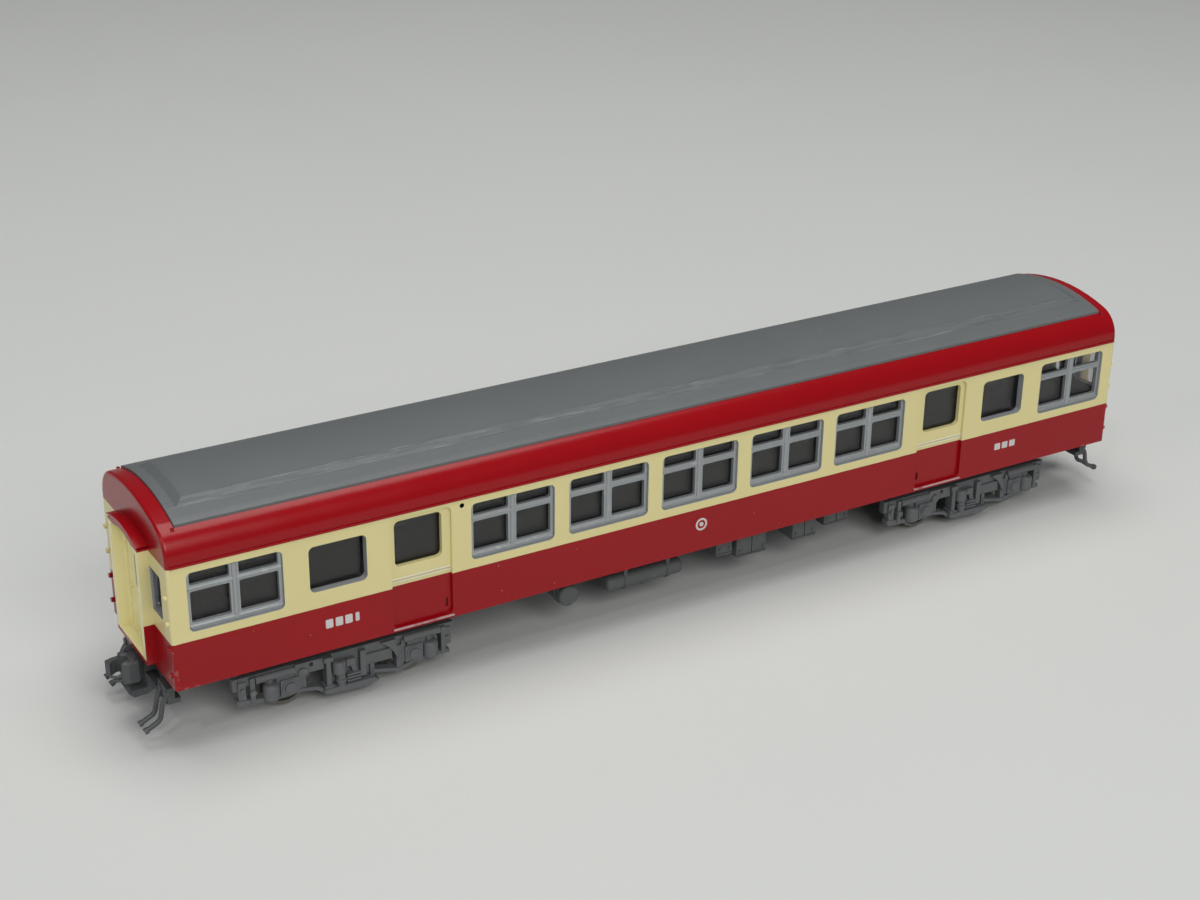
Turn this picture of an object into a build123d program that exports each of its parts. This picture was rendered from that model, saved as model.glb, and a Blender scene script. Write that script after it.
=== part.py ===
from build123d import *
import os
from math import atan2, cos, sin, sqrt

# Model railway passenger coach, 9 mm gauge, about 1:150. Units are mm.
# +X runs along the coach, +Y across it, +Z up. The wheel flanges stand on Z = 0.
# Both ends are alike: end "b" is end "a" turned half round about the Z axis.

# Overall sizes
SHELL_L = 120.6
HALF_L = SHELL_L / 2
HALF_W = 9.3
AXLE_Z = 3.3
SKIRT_Z = AXLE_Z + 4.1
SIDE_WALL = 0.9
END_WALL = 0.9
SEAT = 0.03

# Body cross-section, heights counted from the skirt
ROOF_H = 18.0
CROWN_R = 24.0
SHOULDER_R = 3.4
BAND_H = 13.37
CORNER_R = 0.35
GUTTER_OUT = 0.14
GUTTER_T = 0.22

# Double windows with sashes
WIN_W = 9.8
WIN_LOW = 6.05
WIN_TOP = 12.45
WIN_R = 0.6
WIN_PITCH = 11.55
END_WIN_X = HALF_L - 6.8
DOUBLE_X = [-END_WIN_X, -2 * WIN_PITCH, -WIN_PITCH, 0.0, WIN_PITCH, 2 * WIN_PITCH, END_WIN_X]
SASH_T = 0.45
SASH_BACK = 0.15
SASH_SIDE_RIM = 0.34
SASH_TOP_RIM = 0.14
MULLION_W = 0.96
TRANSOM_LOW = 10.25
TRANSOM_TOP = 10.95
SILL_RAIL = 0.8
POST_BEAD_R = 0.26
RAIL_BEAD_R = 0.2

# Single windows, side doors and their steps
SINGLE_X = HALF_L - 17.5
SINGLE_W = 6.2
SINGLE_LOW = 6.95
SINGLE_TOP = 12.0
DOOR_X = HALF_L - 26.64
DOOR_W = 6.8
DOOR_LOW = 0.42
DOOR_TOP = 12.85
DOOR_R = 0.7
DOOR_DEEP = 0.37
DOOR_WIN_X = DOOR_X + 0.2
DOOR_WIN_W = 5.3
DOOR_WIN_LOW = 7.25
DOOR_WIN_TOP = 12.35
RIB_H = (5.63, 5.95)
RIB_T = 0.14
STEP_OUT = 0.2
STEP_T = 0.13
HANDLE_X = DOOR_X - 2.82
LAMP_X = DOOR_X - 4.62
LAMP_H = 12.57

# End walls
END_WIN_IN = 3.85
END_WIN_OUT = HALF_W - 2.05
END_WIN_LOW = 6.9
END_WIN_TOP = 11.6
END_WIN_R = 0.4
GANG_HALF_W = 4.35
GANG_OUT = 1.1
GANG_POST = 0.75
GANG_LOW = 0.75
GANG_SILL = 0.6
GANG_HEAD = 0.55
GANG_SPRING = 13.45
GANG_TOP = 14.25
HOOD_T = 0.3
HOOD_OVER = 0.1
END_DOOR_HALF_W = 2.9
END_DOOR_LOW = 1.5
END_DOOR_TOP = 13.0
END_DOOR_DEEP = 0.25
SLIT_Y = 0.55
SLIT_W = 1.2
SLIT_LOW = 6.6
SLIT_TOP = 10.3
RUNG_Y = HALF_W - 0.55
RUNG_H = [1.6, 4.45, 7.3, 10.1]
RUNG_R = 0.27
RUNG_OUT = 0.3

# Roof panel
PANEL_HALF_L = SHELL_L / 2 - 1.7
PANEL_HALF_W = HALF_W - 1.7
PANEL_PROUD = 0.22
REBATE_D = 0.5
PLUG_IN = 1.2
DUCT_HALF_L = PANEL_HALF_L - 1.1
DUCT_HALF_W = PANEL_HALF_W - 2.2
DUCT_H = 0.4
DUCT_SLOPE = 0.8
NUB = 0.3

# Glazing
GLASS_T = 0.6
GLASS_LOW = 5.5
GLASS_TOP = 12.95
GLASS_HALF_L = SHELL_L / 2 - 2.0
END_GLASS_HALF_W = HALF_W - 1.2

# Underframe
FLOOR_LOW = 0.4
FLOOR_T = 1.0
FLOOR_GAP = 0.08
RIM_T = 0.6
RIM_TOP = GLASS_LOW - 0.05
WEIGHT_L = SHELL_L - 20.6
WEIGHT_T = 1.5
PEG_R = 0.5
PEG_L = 0.7

# Underfloor gear: name, x range, y range and height range, each hung from the floor
GEAR_OUT = HALF_W - 2.3
GEAR = {
    "relay_box": (4.1, 6.3, -GEAR_OUT, -4.2, -2.9, FLOOR_LOW),
    "switch_box": (6.9, 11.0, -GEAR_OUT, -3.6, -3.75, FLOOR_LOW),
    "brake_box": (14.7, 18.0, -GEAR_OUT, -4.0, -3.45, FLOOR_LOW),
    "junction_box": (19.2, 22.6, -GEAR_OUT, -4.4, -2.7, FLOOR_LOW),
    "battery_box": (-14.0, -5.0, 3.6, GEAR_OUT, -3.75, FLOOR_LOW),
    "charger_box": (-2.0, 3.2, 4.0, GEAR_OUT, -3.2, FLOOR_LOW),
}
# Reservoirs: one across the coach (x, height, radius, y range), one along it
CROSS_TANK = (-15.0, -2.8, 1.25, -GEAR_OUT, -1.5)
LONG_TANK = (-10.1, -0.2, 1.0 - GEAR_OUT, -3.05, 0.95)

# Bogies and wheels
BOGIE_X = HALF_L - 19.35
WHEELBASE = 13.9
HALF_BASE = WHEELBASE / 2
TREAD_R = AXLE_Z - 0.5
WHEEL_IN = 3.7
WHEEL_W = 2.2
FLANGE_W = 0.55
AXLE_R = 0.75
JOURNAL_R = 0.45
JOURNAL_GAP = 0.05
FRAME_IN = WHEEL_IN + WHEEL_W + 0.4
FRAME_T = 0.85
FRAME_OUT = FRAME_IN + FRAME_T
AXLE_HALF_L = FRAME_IN + 0.7
PIVOT_R = 1.5
PIVOT_GAP = 0.05
BOSS_R = 3.4
PLATE_TOP = -1.9
PLATE_T = 1.1
PIN_HEAD_R = 2.3
PIN_HEAD_T = 0.6
PIN_GAP = 0.05
END_TIE_X = HALF_BASE + 4.45

# Couplers and hoses
POCKET_X = HALF_L - 3.5
POCKET_HALF_W = 2.5
POCKET_FLOOR_T = 0.55
POCKET_PEG_X = HALF_L - 1.7
POCKET_PEG_Y = (-1.9, 1.9)
SHANK_LOW = -2.0
SHANK_TOP = -1.0
SHANK_HALF_W = 0.8
COUPLER_PIN_R = 0.6
COUPLER_PIN_GAP = 0.05
HEAD_BACK_X = HALF_L + 0.4
HEAD_FACE_X = HALF_L + 2.3
HEAD_HALF_W = 1.5
HEAD_LOW = -2.75
HEAD_TOP = -0.2
HOSE_R = 0.26
HOSE_Y = [HALF_W - 4.9, HALF_W - 3.3]
CARRIER_HALF_W = HALF_W - 3.0
CARRIER_DEEP = 1.4
GUARD_HALF_W = 1.5


def half_turn(shape):
    return Rotation(0, 0, 180) * shape


def block(x0, x1, y0, y1, h0, h1):
    """Box between two x, two y and two heights counted from the skirt."""
    size = Box(x1 - x0, y1 - y0, h1 - h0)
    return Pos((x0 + x1) / 2, (y0 + y1) / 2, SKIRT_Z + (h0 + h1) / 2) * size


def side_prism(x, wide, h0, h1, radius, y0, y1):
    """Rounded rectangle seen from the side, run from y0 to y1."""
    plane = Plane(origin=(x, y0, SKIRT_Z + (h0 + h1) / 2), x_dir=(1, 0, 0), z_dir=(0, 1, 0))
    return extrude(plane * RectangleRounded(wide, h1 - h0, radius), y1 - y0)


def end_prism(y, wide, h0, h1, radius, x0, x1):
    """Rounded rectangle seen from the end, run from x0 to x1."""
    plane = Plane(origin=(x0, y, SKIRT_Z + (h0 + h1) / 2), x_dir=(0, 1, 0), z_dir=(1, 0, 0))
    return extrude(plane * RectangleRounded(wide, h1 - h0, radius), x1 - x0)


def across(points, y0, y1):
    """Polygon of (x, height from the skirt) run from y0 to y1."""
    plane = Plane(origin=(0, y0, SKIRT_Z), x_dir=(-1, 0, 0), z_dir=(0, 1, 0))
    outline = Polyline([(-x, h) for x, h in points], close=True)
    return extrude(plane * make_face(outline), y1 - y0)


def rod_x(x0, x1, y, h, radius):
    place = Plane(origin=(x0, y, SKIRT_Z + h), z_dir=(1, 0, 0))
    return extrude(place * Circle(radius), x1 - x0)


def rod_y(x, y0, y1, h, radius):
    place = Plane(origin=(x, y0, SKIRT_Z + h), z_dir=(0, 1, 0))
    return extrude(place * Circle(radius), y1 - y0)


def rod_z(x, y, h0, h1, radius):
    place = Plane(origin=(x, y, SKIRT_Z + h0), z_dir=(0, 0, 1))
    return extrude(place * Circle(radius), h1 - h0)


def join(shapes):
    first = shapes[0]
    return first.fuse(*shapes[1:]) if len(shapes) > 1 else first


def section(offset, low):
    """Body cross-section, moved outwards by offset, open down to height low."""
    half = HALF_W + offset
    knuckle_y = HALF_W - SHOULDER_R
    crown_h = ROOF_H - CROWN_R
    rise = sqrt((CROWN_R - SHOULDER_R) ** 2 - knuckle_y**2)
    spring = crown_h + rise
    turn = atan2(rise, knuckle_y)
    radius = SHOULDER_R + offset
    meet = (knuckle_y + radius * cos(turn), spring + radius * sin(turn))
    middle = (knuckle_y + radius * cos(turn / 2), spring + radius * sin(turn / 2))
    top = ROOF_H + offset
    edges = [
        Line((-half, low), (half, low)),
        Line((half, low), (half, spring)),
        ThreePointArc((half, spring), middle, meet),
        ThreePointArc(meet, (0, top), (-meet[0], meet[1])),
        ThreePointArc((-meet[0], meet[1]), (-middle[0], middle[1]), (-half, spring)),
        Line((-half, spring), (-half, low)),
    ]
    return make_face(edges)


def side_height(y):
    """Height of the body's outer surface on the roof shoulder."""
    rise = sqrt((CROWN_R - SHOULDER_R) ** 2 - (HALF_W - SHOULDER_R) ** 2)
    spring = ROOF_H - CROWN_R + rise
    return spring + sqrt(SHOULDER_R**2 - (y - HALF_W + SHOULDER_R) ** 2)


def tunnel(offset, low, half_l):
    """Body cross-section run along the coach."""
    plane = Plane(origin=(-half_l, 0, SKIRT_Z), x_dir=(0, 1, 0), z_dir=(1, 0, 0))
    return extrude(plane * section(offset, low), 2 * half_l)


def arch_prism(half_w, low, spring, top, x0, x1):
    """Gangway outline: straight sides and a shallow arched top."""
    plane = Plane(origin=(x0, 0, SKIRT_Z), x_dir=(0, 1, 0), z_dir=(1, 0, 0))
    edges = [
        Line((-half_w, low), (half_w, low)),
        Line((half_w, low), (half_w, spring)),
        ThreePointArc((half_w, spring), (0, top), (-half_w, spring)),
        Line((-half_w, spring), (-half_w, low)),
    ]
    return extrude(plane * make_face(edges), x1 - x0)


def gangway():
    """Gangway frame and hood at end a, standing out from the end wall."""
    wall = -HALF_L
    face = wall - GANG_OUT
    root = wall + 0.3
    frame = arch_prism(GANG_HALF_W, GANG_LOW, GANG_SPRING, GANG_TOP, face, root)
    clear_w = GANG_HALF_W - GANG_POST
    clear_low = GANG_LOW + GANG_SILL
    clear_spring = GANG_SPRING - GANG_HEAD
    clear_top = GANG_TOP - GANG_HEAD
    opening = arch_prism(clear_w, clear_low, clear_spring, clear_top, face - 1, wall + 1)
    hood_w = GANG_HALF_W + HOOD_OVER
    lift = GANG_SPRING + HOOD_T
    hood = arch_prism(hood_w, GANG_SPRING, lift, GANG_TOP + HOOD_T, face - HOOD_OVER, root)
    hollow = arch_prism(hood_w + 1, GANG_SPRING - 2, GANG_SPRING, GANG_TOP, face - 1, wall + 1)
    return join([frame - opening, hood - hollow])


def end_details():
    """Gangway, climbing rungs and door handle of end a, and the nubs at the roof panel's corners."""
    wall = -HALF_L
    rungs = [
        rod_x(wall - RUNG_OUT, wall + 0.2, y, h, RUNG_R)
        for y in (-RUNG_Y, RUNG_Y)
        for h in RUNG_H
    ]
    handle_y = END_DOOR_HALF_W - 0.5
    handle = rod_x(wall, wall + END_DOOR_DEEP + 0.1, handle_y, SLIT_LOW - 0.4, 0.22)
    corner_x = -PANEL_HALF_L - SEAT - 0.05
    corner_y = PANEL_HALF_W + SEAT + 0.05
    top = side_height(corner_y + NUB / 2) + 0.2
    nubs = [
        block(corner_x - NUB, corner_x, min(y0, y0 + way * NUB), max(y0, y0 + way * NUB), top - 0.6, top)
        for y0, way in ((corner_y, 1), (-corner_y, -1))
    ]
    return [gangway(), handle] + rungs + nubs


def end_cutters():
    """Windows, door recess and door slit of end a."""
    wall = -HALF_L
    through = wall + END_WALL + 1
    wide = END_WIN_OUT - END_WIN_IN
    middle = (END_WIN_OUT + END_WIN_IN) / 2
    panes = [
        end_prism(y, wide, END_WIN_LOW, END_WIN_TOP, END_WIN_R, wall - 1, through)
        for y in (-middle, middle)
    ]
    door_w = 2 * END_DOOR_HALF_W
    door = end_prism(0, door_w, END_DOOR_LOW, END_DOOR_TOP, 0.3, wall - 0.1, wall + END_DOOR_DEEP)
    slit = end_prism(SLIT_Y, SLIT_W, SLIT_LOW, SLIT_TOP, 0.3, wall - 1, through)
    return panes + [door, slit]


def side_cutters():
    """Openings that go through both side walls."""
    reach = HALF_W + 1
    cuts = [side_prism(x, WIN_W, WIN_LOW, WIN_TOP, WIN_R, -reach, reach) for x in DOUBLE_X]
    for sign in (-1, 1):
        x = sign * SINGLE_X
        cuts.append(side_prism(x, SINGLE_W, SINGLE_LOW, SINGLE_TOP, WIN_R, -reach, reach))
        x = sign * DOOR_WIN_X
        cuts.append(side_prism(x, DOOR_WIN_W, DOOR_WIN_LOW, DOOR_WIN_TOP, WIN_R, -reach, reach))
    return cuts


def door_cutters(side):
    """Door recesses, handle slots and lamp hole on one side wall."""
    face = side * HALF_W
    back = side * (HALF_W - DOOR_DEEP)
    low, high = sorted((back, face + side))
    cuts = []
    for sign in (-1, 1):
        cuts.append(side_prism(sign * DOOR_X, DOOR_W, DOOR_LOW, DOOR_TOP, DOOR_R, low, high))
        deep, out = sorted((back - side * 0.15, back + side))
        cuts.append(side_prism(sign * HANDLE_X, 0.36, 1.3, 2.27, 0.12, deep, out))
    lamp_in, lamp_out = sorted((face - side * 0.6, face + side))
    cuts.append(rod_y(side * LAMP_X, lamp_in, lamp_out, LAMP_H, 0.26))
    return cuts


def side_details(side):
    """Gutter, door ribs and door steps on one side wall."""
    face = side * HALF_W
    back = side * (HALF_W - DOOR_DEEP)
    half_l = HALF_L - CORNER_R
    g0, g1 = sorted((face - side * 0.3, face + side * GUTTER_OUT))
    parts = [block(-half_l, half_l, g0, g1, BAND_H - GUTTER_T / 2, BAND_H + GUTTER_T / 2)]
    for sign in (-1, 1):
        x0 = sign * DOOR_X - DOOR_W / 2 + 0.1
        x1 = sign * DOOR_X + DOOR_W / 2 - 0.1
        r0, r1 = sorted((back - side * 0.1, back + side * 0.16))
        for h in RIB_H:
            parts.append(block(x0, x1, r0, r1, h - RIB_T / 2, h + RIB_T / 2))
        s0, s1 = sorted((face - side * 0.5, face + side * STEP_OUT))
        parts.append(block(x0 - 0.2, x1 + 0.2, s0, s1, DOOR_LOW - STEP_T, DOOR_LOW))
    return parts


def roof_rebate():
    """Ledge and opening that take the roof panel."""
    half_l = PANEL_HALF_L + SEAT
    half_w = PANEL_HALF_W + SEAT
    high = ROOF_H + 3
    outer = block(-half_l, half_l, -half_w, half_w, BAND_H, high)
    ledge = outer - tunnel(-REBATE_D, 0, half_l + 1)
    inner_l = half_l - PLUG_IN
    inner_w = half_w - PLUG_IN
    opening = block(-inner_l, inner_l, -inner_w, inner_w, BAND_H, high)
    return [ledge, opening]


def body_shell():
    outer = tunnel(0, 0, HALF_L)
    corners = [
        edge
        for edge in outer.edges()
        if abs(abs(edge.center().X) - HALF_L) < 1e-3 and edge.center().Z > SKIRT_Z + 0.01
    ]
    outer = fillet(corners, CORNER_R)
    shell = outer - tunnel(-SIDE_WALL, -1, HALF_L - END_WALL)
    ends = end_details()
    added = ends + [half_turn(shape) for shape in ends] + side_details(-1) + side_details(1)
    cuts = end_cutters()
    cuts += [half_turn(shape) for shape in cuts]
    cuts += side_cutters() + door_cutters(-1) + door_cutters(1) + roof_rebate()
    return shell.cut(*cuts).fuse(*added)


def roof_panel():
    """Grey roof panel with the raised duct cover and its locating plug."""
    box = block(-PANEL_HALF_L, PANEL_HALF_L, -PANEL_HALF_W, PANEL_HALF_W, BAND_H, ROOF_H + 3)
    skin = tunnel(PANEL_PROUD, 0, PANEL_HALF_L) & box
    skin = skin - tunnel(-REBATE_D, -1, PANEL_HALF_L + 1)
    plug_l = PANEL_HALF_L - PLUG_IN - SEAT
    plug_w = PANEL_HALF_W - PLUG_IN - SEAT
    plug_box = block(-plug_l, plug_l, -plug_w, plug_w, BAND_H, ROOF_H + 3)
    plug = tunnel(-REBATE_D + 0.1, 0, plug_l) & plug_box
    plug = plug - tunnel(-SIDE_WALL, -1, plug_l + 1)
    return join([skin, plug, roof_duct()])


def roof_duct():
    """Low raised cover along the middle of the roof, its edges sloping all round."""
    top = PANEL_PROUD + DUCT_H
    strip = block(-DUCT_HALF_L, DUCT_HALF_L, -DUCT_HALF_W, DUCT_HALF_W, BAND_H, ROOF_H + 3)
    duct = tunnel(top, 0, DUCT_HALF_L) & strip
    duct = duct - tunnel(PANEL_PROUD - 0.1, -1, DUCT_HALF_L + 1)
    crown = duct.faces().sort_by(Axis.Z)[-1]
    return chamfer(crown.edges(), DUCT_SLOPE, DUCT_H, reference=crown)


def sash(x, side):
    """One pressed sash frame, two top panes over two bottom panes, with raised beads."""
    w = WIN_W - 2 * SEAT
    low = WIN_LOW + SEAT
    top = WIN_TOP - SEAT
    back = HALF_W - SIDE_WALL + SASH_BACK
    y0, y1 = sorted((side * back, side * (back + SASH_T)))
    frame = side_prism(x, w, low, top, WIN_R - SEAT, y0, y1)
    pane_w = (w - 2 * SASH_SIDE_RIM - MULLION_W) / 2
    pane_low = low + SILL_RAIL
    pane_top = top - SASH_TOP_RIM
    panes = []
    for sign in (-1, 1):
        px = x + sign * (MULLION_W + pane_w) / 2
        panes.append(side_prism(px, pane_w, TRANSOM_TOP, pane_top, 0.2, y0 - 1, y1 + 1))
        panes.append(side_prism(px, pane_w, pane_low, TRANSOM_LOW, 0.2, y0 - 1, y1 + 1))
    face = side * (back + SASH_T - 0.05)
    reach = w / 2 - 0.1
    beads = [
        rod_z(x, face, low + 0.3, top - 0.1, POST_BEAD_R),
        rod_x(x - reach, x + reach, face, low + SILL_RAIL / 2, RAIL_BEAD_R),
        rod_x(x - reach, x + reach, face, (TRANSOM_LOW + TRANSOM_TOP) / 2, RAIL_BEAD_R),
    ]
    return join([frame.cut(*panes)] + beads)


def sash_set(side):
    return Compound(children=[sash(x, side) for x in DOUBLE_X])


def side_glazing(side):
    """Clear strip inside one side wall, with a raised pad in each window."""
    wall = HALF_W - SIDE_WALL
    y0, y1 = sorted((side * wall, side * (wall - GLASS_T)))
    strip = block(-GLASS_HALF_L, GLASS_HALF_L, y0, y1, GLASS_LOW, GLASS_TOP)
    p0, p1 = sorted((side * (wall - 0.1), side * (wall + SASH_BACK)))
    w = WIN_W - 2 * SEAT
    pads = [
        side_prism(x, w, WIN_LOW + SEAT, WIN_TOP - SEAT, WIN_R - SEAT, p0, p1)
        for x in DOUBLE_X
    ]
    return join([strip] + pads)


def end_glazing():
    wall = -HALF_L + END_WALL
    half_w = END_GLASS_HALF_W
    plate = block(wall, wall + GLASS_T, -half_w, half_w, GLASS_LOW, GLASS_TOP)
    middle = (END_WIN_OUT + END_WIN_IN) / 2
    wide = END_WIN_OUT - END_WIN_IN - 2 * SEAT
    low = END_WIN_LOW + SEAT
    top = END_WIN_TOP - SEAT
    pads = [
        end_prism(y, wide, low, top, END_WIN_R - SEAT, wall - 0.12, wall + 0.1)
        for y in (-middle, middle)
    ]
    return join([plate] + pads)


def gear_pegs(name):
    """The two locating peg centres of a piece of underfloor gear."""
    if name == "cross_reservoir":
        x, _, _, y0, y1 = CROSS_TANK
        return [(x, y0 + 1.4), (x, y1 - 1.2)]
    if name == "main_reservoir":
        x0, x1, y, _, _ = LONG_TANK
        return [(x0 + 2.4, y), (x1 - 2.0, y)]
    x0, x1, y0, y1, _, _ = GEAR[name]
    middle = (y0 + y1) / 2
    return [(x0 + 0.8, middle), (x1 - 0.8, middle)]


def pegs(name, reach):
    top = FLOOR_LOW + PEG_L
    return [rod_z(x, y, FLOOR_LOW - reach, top, PEG_R) for x, y in gear_pegs(name)]


def gear_box(name):
    """Equipment case with a lid rib, door lines and two hinges."""
    x0, x1, y0, y1, low, high = GEAR[name]
    side = -1 if y1 < 0 else 1
    face = y0 if side < 0 else y1
    case = block(x0, x1, y0, y1, low, high)
    case = fillet(case.edges().filter_by(Axis.Z), 0.2)
    f0, f1 = sorted((face - side * 0.12, face + side))
    cuts = [block(x0 - 1, x1 + 1, f0, f1, high - 0.95, high - 0.83)]
    if x1 - x0 > 3:
        middle = (x0 + x1) / 2
        cuts.append(block(middle - 0.06, middle + 0.06, f0, f1, low + 0.25, high - 0.9))
    case = case.cut(*cuts)
    b0, b1 = sorted((face - side * 0.2, face + side * 0.12))
    hinges = [block(x - 0.15, x + 0.15, b0, b1, low + 0.5, low + 0.9) for x in (x0 + 0.45, x1 - 0.45)]
    foot = block(x0 + 0.1, x1 - 0.1, b0, b1, low + 0.05, low + 0.22)
    return join([case, foot] + hinges + pegs(name, 0.2))


def cross_reservoir():
    x, h, radius, y0, y1 = CROSS_TANK
    tank = rod_y(x, y0, y1, h, radius)
    rims = [edge for edge in tank.edges() if edge.geom_type == GeomType.CIRCLE]
    parts = [fillet(rims, 0.35)]
    for _, y in gear_pegs("cross_reservoir"):
        parts.append(rod_y(x, y - 0.25, y + 0.25, h, radius + 0.1))
        parts.append(block(x - 0.9, x + 0.9, y - 0.25, y + 0.25, h, FLOOR_LOW))
        parts.append(block(x - 0.9, x + 0.9, y - 0.6, y + 0.6, FLOOR_LOW - 0.35, FLOOR_LOW))
    return join(parts + pegs("cross_reservoir", 0.2))


def main_reservoir():
    x0, x1, y, h, radius = LONG_TANK
    tank = rod_x(x0, x1, y, h, radius)
    rims = [edge for edge in tank.edges() if edge.geom_type == GeomType.CIRCLE]
    parts = [fillet(rims, 0.5), rod_z((x0 + x1) / 2, y, h - radius - 0.25, h, 0.2)]
    for x, _ in gear_pegs("main_reservoir"):
        parts.append(rod_x(x - 0.22, x + 0.22, y, h, radius + 0.1))
        parts.append(block(x - 0.22, x + 0.22, y - 0.7, y + 0.7, h, FLOOR_LOW))
        parts.append(block(x - 0.6, x + 0.6, y - 0.7, y + 0.7, FLOOR_LOW - 0.35, FLOOR_LOW))
    return join(parts + pegs("main_reservoir", 0.2))


def chassis_floor():
    """Floor with rims, bogie bosses and the holes that the pegs and pins enter."""
    half_l = HALF_L - END_WALL - FLOOR_GAP
    half_w = HALF_W - SIDE_WALL - FLOOR_GAP
    top = FLOOR_LOW + FLOOR_T
    parts = [block(-half_l, half_l, -half_w, half_w, FLOOR_LOW, top)]
    for y in (-half_w, half_w - RIM_T):
        parts.append(block(-half_l + 2, half_l - 2, y, y + RIM_T, top - 0.1, RIM_TOP))
    for x in (-half_l, half_l - RIM_T):
        parts.append(block(x, x + RIM_T, -half_w, half_w, top - 0.1, RIM_TOP))
    boss_low = PLATE_TOP + PIN_GAP
    for x in (-BOGIE_X, BOGIE_X):
        parts.append(rod_z(x, 0, boss_low, FLOOR_LOW + 0.1, BOSS_R))
        parts.append(rod_z(x, 0, FLOOR_LOW, FLOOR_LOW + 0.1, BOSS_R + 0.8))
    floor = join(parts)
    holes = [rod_z(x, 0, boss_low - 1, top, PIVOT_R) for x in (-BOGIE_X, BOGIE_X)]
    for name in list(GEAR) + ["cross_reservoir", "main_reservoir"]:
        for x, y in gear_pegs(name):
            holes.append(rod_z(x, y, FLOOR_LOW - 1, FLOOR_LOW + PEG_L, PEG_R + SEAT))
    for x in (-POCKET_PEG_X, POCKET_PEG_X):
        for y in POCKET_PEG_Y:
            holes.append(rod_z(x, y, FLOOR_LOW - 1, FLOOR_LOW + PEG_L, PEG_R + SEAT))
    return floor.cut(*holes)


def weight_plate():
    """Steel ballast plate that lies on the floor."""
    low = FLOOR_LOW + FLOOR_T
    half_w = HALF_W - SIDE_WALL - FLOOR_GAP - RIM_T - 0.3
    return block(-WEIGHT_L / 2, WEIGHT_L / 2, -half_w, half_w, low, low + WEIGHT_T)


def bogie_pin():
    """Headed pin pressed into the boss of the floor; the bogie hangs on its head."""
    head_top = PLATE_TOP - PLATE_T - PIN_GAP
    head_low = head_top - PIN_HEAD_T
    shank = rod_z(-BOGIE_X, 0, head_top - 0.1, FLOOR_LOW + FLOOR_T, PIVOT_R)
    head = rod_z(-BOGIE_X, 0, head_low, head_top, PIN_HEAD_R)
    rims = [edge for edge in head.edges() if edge.center().Z < SKIRT_Z + head_top - 0.1]
    head = fillet([edge for edge in rims if edge.geom_type == GeomType.CIRCLE], 0.25)
    slot = block(-BOGIE_X - 1.5, -BOGIE_X + 1.5, -0.2, 0.2, head_low, head_low + 0.25)
    return join([shank, head]) - slot


def proud(x0, x1, h0, h1, out):
    """Block on the near bogie side, standing out from the frame's inner plane."""
    return block(x0, x1, -FRAME_IN - out, -FRAME_IN, h0, h1)


def proud_shape(points, out):
    """Plate of a drawn outline on the near bogie side."""
    return across(points, -FRAME_IN - out, -FRAME_IN)


def bogie_side():
    """Near side frame of a bogie centred on x = 0, facing -Y."""
    axle_h = AXLE_Z - SKIRT_Z
    web = [
        (-6.1, PLATE_TOP),
        (6.1, PLATE_TOP),
        (6.1, -3.1),
        (2.3, -3.1),
        (2.3, -5.3),
        (-2.9, -5.3),
        (-2.9, -3.1),
        (-6.1, -3.1),
    ]
    parts = [proud_shape(web, FRAME_T - 0.25), proud(-10.5, 10.5, -2.8, PLATE_TOP, FRAME_T - 0.2)]
    parts += sill_plates() + axle_boxes(axle_h) + axle_springs() + bolster() + end_gear()
    frame = join(parts)
    holes = [rod_y(-4.48, -FRAME_IN - 2, -FRAME_IN + 1, -2.3, 0.24)]
    for x in (-HALF_BASE, HALF_BASE):
        back = -AXLE_HALF_L - JOURNAL_GAP
        holes.append(rod_y(x, back, -FRAME_IN + 1, axle_h, JOURNAL_R + JOURNAL_GAP))
    return frame.cut(*holes)


def sill_plates():
    """Flat plates, gusset, legs and lower beams between the axle boxes."""
    gusset = [(3.3, -2.0), (4.95, -1.95), (5.2, -4.5), (4.75, -3.5), (4.2, -2.75)]
    left_beam = [
        (-9.6, -4.9),
        (-7.1, -4.9),
        (-5.67, -4.75),
        (-3.8, -5.1),
        (-3.0, -5.65),
        (-3.3, -6.0),
        (-3.95, -5.45),
        (-5.67, -5.1),
        (-7.1, -5.25),
        (-9.6, -5.25),
    ]
    right_beam = [
        (2.3, -4.85),
        (5.3, -5.5),
        (7.1, -5.0),
        (9.85, -4.9),
        (9.85, -5.25),
        (7.3, -5.35),
        (5.3, -5.9),
        (2.3, -5.25),
    ]
    return [
        proud(-6.24, -3.1, -3.18, PLATE_TOP, 0.95),
        proud(1.4, 4.55, -4.2, -3.0, 0.85),
        proud(2.05, 2.5, -5.75, -4.1, 0.9),
        proud(-5.96, -5.06, -5.0, -3.0, 0.85),
        proud(5.04, 5.78, -5.6, -2.9, 0.9),
        rod_y(-5.47, -FRAME_IN - 1.15, -FRAME_IN, -2.92, 0.5),
        proud_shape(gusset, 1.1),
        proud_shape(left_beam, 1.0),
        proud_shape(right_beam, 1.0),
    ]


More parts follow.
